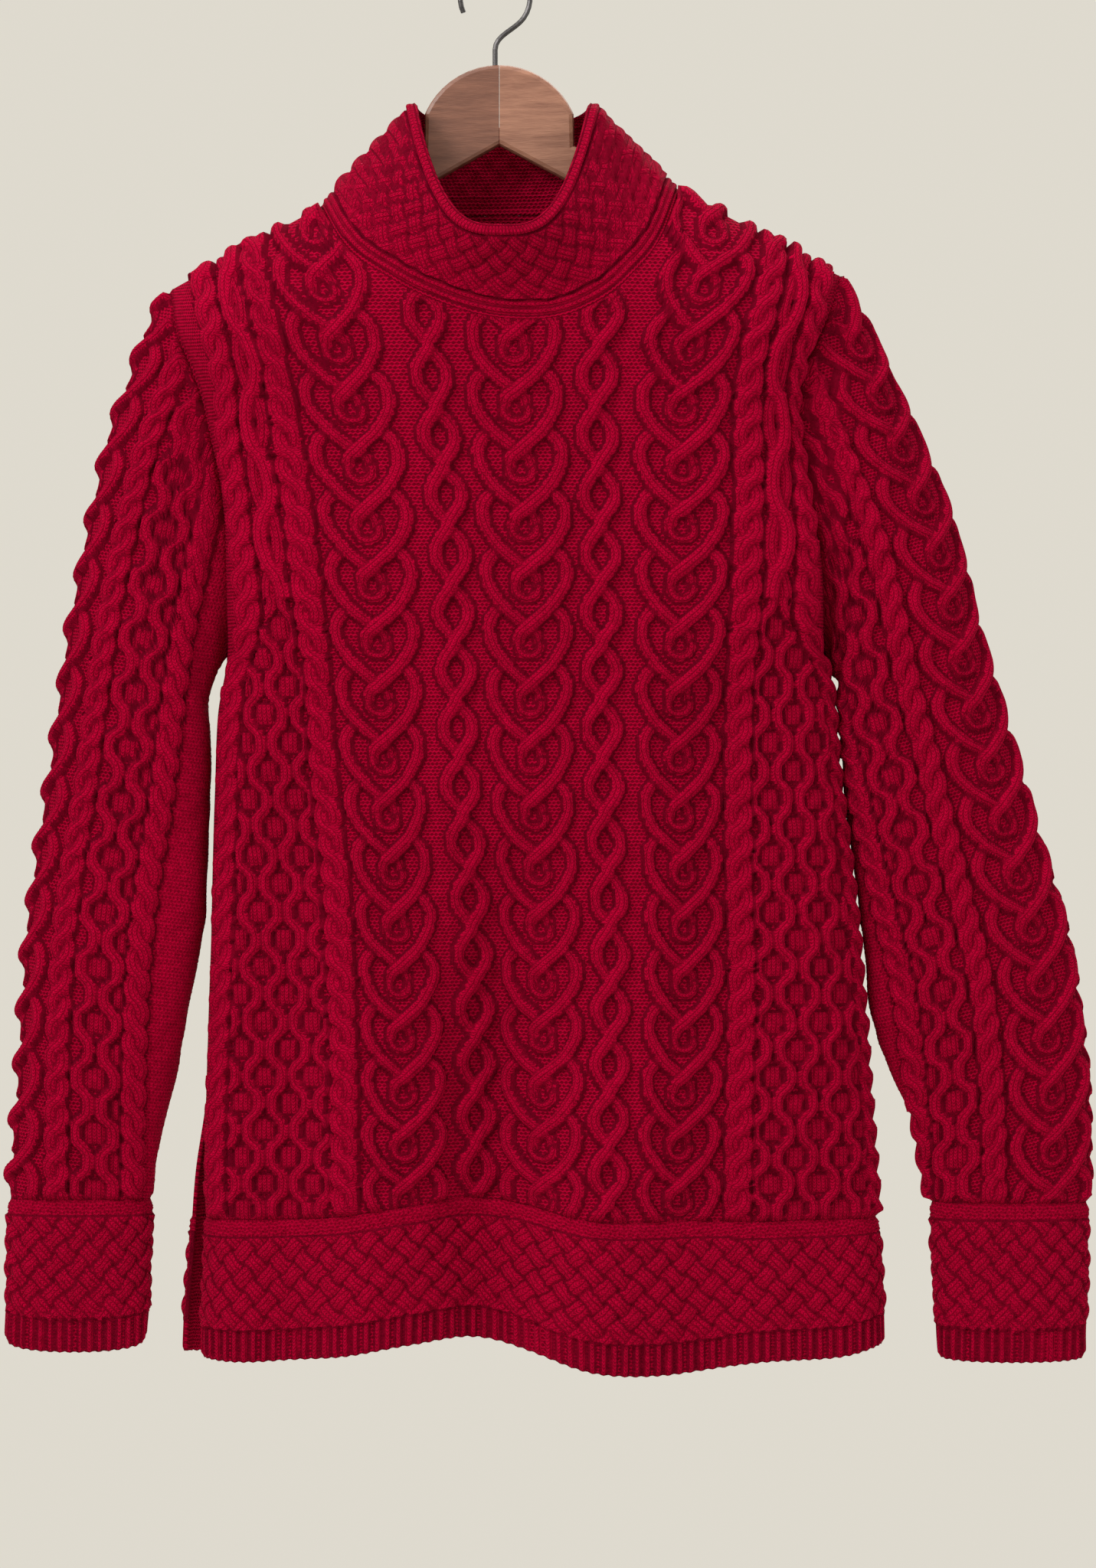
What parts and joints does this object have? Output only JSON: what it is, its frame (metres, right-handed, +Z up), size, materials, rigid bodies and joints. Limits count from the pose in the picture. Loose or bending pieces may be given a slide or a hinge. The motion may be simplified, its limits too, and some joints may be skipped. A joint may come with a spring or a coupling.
{
  "type": "aran sweater with a funnel neck on a wooden clothes hanger",
  "caption": "Red cable-knit aran sweater with a funnel neck, side vents and woven-stitch bands, hung on a contoured wooden hanger.",
  "frame": {"origin": "inner top of the hook, where a rail carries it", "axes": "+Z up, +X to the viewer's right along the shoulders, -Y the front of the sweater"},
  "size_m": [0.6701, 0.1326, 0.8691],
  "materials": {
    "wool": "soft knitted wool",
    "hanger_wood": "stained and waxed",
    "hook_steel": "dark plated"
  },
  "bodies": {
    "root": {"front": "wool", "back": "wool", "sleeve_left": "wool", "sleeve_right": "wool", "collar": "wool", "hem_front": "wool", "hem_back": "wool", "cuff_left": "wool", "cuff_right": "wool", "hanger_left": "hanger_wood", "hanger_right": "hanger_wood", "hook": "hook_steel"}
  },
  "joints": []
}
